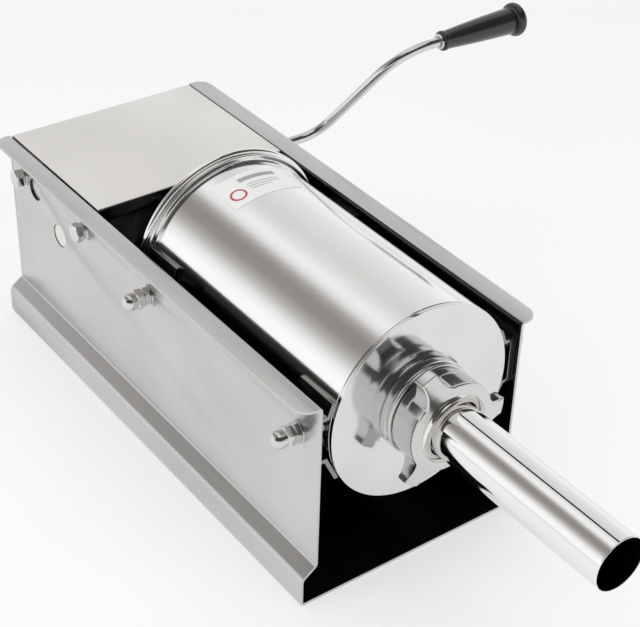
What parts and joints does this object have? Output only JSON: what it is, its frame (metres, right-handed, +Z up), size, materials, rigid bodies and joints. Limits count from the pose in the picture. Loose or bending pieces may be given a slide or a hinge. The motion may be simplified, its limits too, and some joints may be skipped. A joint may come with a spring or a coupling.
{
  "type": "sausage stuffer",
  "caption": "Horizontal sausage stuffer: lift-out polished cylinder held by spring clips, rack-driven piston, crank gearbox and a filling tube under a winged ring nut.",
  "frame": {"origin": "middle of the body's underside, on the table", "axes": "+Z up, -Y along the filling tube away from the body, +X towards the crank"},
  "size_m": [0.4108, 0.5985, 0.2331],
  "materials": {
    "body_steel": "satin stainless sheet, brushed along its length",
    "cover_steel": "satin stainless sheet",
    "plate_steel": "bent stainless sheet with a fine brushed face",
    "polished_steel": "mirror-polished stainless steel",
    "fastener_steel": "bright stainless fasteners",
    "cast_steel": "polished cast stainless steel",
    "bush_nylon": "white nylon",
    "seal_rubber": "black food-grade rubber",
    "rod_steel": "bright turned round bar",
    "grip_plastic": "glossy black moulded plastic",
    "gear_steel": "machine-cut stainless teeth"
  },
  "bodies": {
    "body": {"body_shell": "body_steel", "gearbox_cover": "cover_steel", "cover_screws": "fastener_steel", "gearbox_front_plate": "plate_steel", "gearbox_rear_plate": "plate_steel", "left_bearing_plate": "plate_steel", "right_bearing_plate": "plate_steel", "gearbox_bolts": "fastener_steel", "gearbox_washers": "fastener_steel", "spring_washers": "fastener_steel", "gearbox_nuts": "fastener_steel", "wall_bushes": "bush_nylon", "plate_bushes": "bush_nylon", "rack_slide_block": "bush_nylon", "rack_guide": "bush_nylon", "guide_screws": "fastener_steel", "front_left_clip": "plate_steel", "front_right_clip": "plate_steel", "rear_left_clip": "plate_steel", "rear_right_clip": "plate_steel", "clip_bolts": "fastener_steel", "clip_washers": "fastener_steel", "clip_jam_nuts": "fastener_steel", "dome_nuts": "fastener_steel", "meat_cylinder": "polished_steel", "cylinder_end_disc": "polished_steel", "outlet_spout": "polished_steel", "tube_gasket": "seal_rubber"},
    "filling_tube": {"filling_tube": "polished_steel"},
    "ring_nut": {"ring_nut": "cast_steel"},
    "piston": {"piston_front_plate": "polished_steel", "piston_seal": "seal_rubber", "piston_back_plate": "plate_steel", "piston_nut": "fastener_steel", "air_valve": "bush_nylon", "rack": "gear_steel"},
    "pinion_shaft": {"pinion_shaft": "rod_steel", "rack_pinion": "gear_steel", "large_gear": "gear_steel", "pinion_shaft_collars": "fastener_steel"},
    "crank": {"crank_shaft": "rod_steel", "crank_gear": "gear_steel", "crank_shaft_collar": "fastener_steel", "crank_hub": "rod_steel", "thumb_screw": "fastener_steel", "crank_rod": "rod_steel", "grip_washers": "fastener_steel"},
    "grip": {"crank_grip": "grip_plastic"}
  },
  "joints": [
    {"name": "crank_turn", "type": "hinge", "parent": "body", "child": "crank", "pos_m": [0.1, 0.10988, 0.13875], "axis": [1, 0, 0], "range_deg": [-585, 1450]},
    {"name": "pinion_turn", "type": "hinge", "parent": "body", "child": "pinion_shaft", "pos_m": [0, 0.13, 0.108], "axis": [1, 0, 0], "range_deg": [-640, 259]},
    {"name": "piston_travel", "type": "slide", "parent": "body", "child": "piston", "axis": [0, 1, 0], "range_m": [-0.068, 0.168]},
    {"name": "grip_spin", "type": "hinge", "parent": "crank", "child": "grip", "pos_m": [0.26, 0.05953, 0.21932], "axis": [1, 0, 0], "continuous": true},
    {"name": "nut_turn", "type": "hinge", "parent": "filling_tube", "child": "ring_nut", "pos_m": [0, -0.22, 0.128], "axis": [0, -1, 0], "range_deg": [0, 1440]},
    {"name": "tube_travel", "type": "slide", "parent": "body", "child": "filling_tube", "axis": [0, -1, 0], "range_m": [0, 0.0161]}
  ],
  "couplings": [
    {"joint": "pinion_turn", "follows": "crank_turn", "ratio": -0.44118},
    {"joint": "piston_travel", "follows": "crank_turn", "m_per_rad": 0.0066176},
    {"joint": "tube_travel", "follows": "nut_turn", "m_per_rad": 0.00063662}
  ]
}
